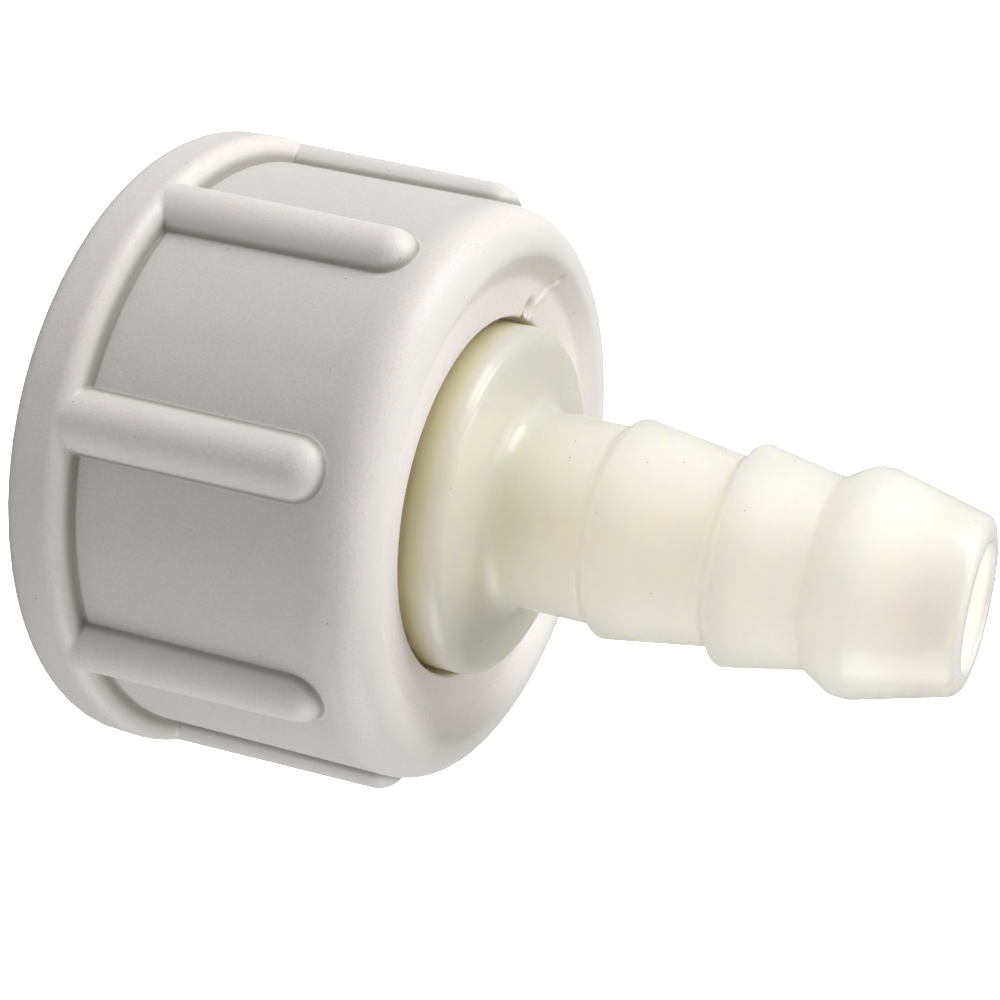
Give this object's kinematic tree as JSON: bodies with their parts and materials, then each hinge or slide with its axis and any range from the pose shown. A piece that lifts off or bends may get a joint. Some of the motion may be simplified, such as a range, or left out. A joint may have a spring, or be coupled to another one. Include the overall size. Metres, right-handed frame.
{
  "type": "washing machine hose fitting",
  "caption": "Ribbed plastic union nut for a pipe thread, turning on a barbed hose tail, with a flat sealing washer inside.",
  "frame": {"origin": "centre of the nut's open end, on the surface that it stands on", "axes": "+Z along the common axis of nut and tail, towards the tip of the tail; +X through one grip rib, turned from it by 2.4 degrees"},
  "size_m": [0.034, 0.034, 0.0437],
  "materials": {
    "nut_plastic": "warm light grey moulded plastic with a soft sheen",
    "tail_plastic": "natural translucent moulded plastic",
    "washer_rubber": "plain black rubber"
  },
  "bodies": {
    "nut": {"union_nut": "nut_plastic", "sealing_washer": "washer_rubber"},
    "tail": {"hose_tail": "tail_plastic"}
  },
  "joints": [
    {"name": "tail_swivel", "type": "hinge", "parent": "nut", "child": "tail", "pos_m": [0, 0, 0.0165], "axis": [0, 0, 1], "continuous": true}
  ]
}
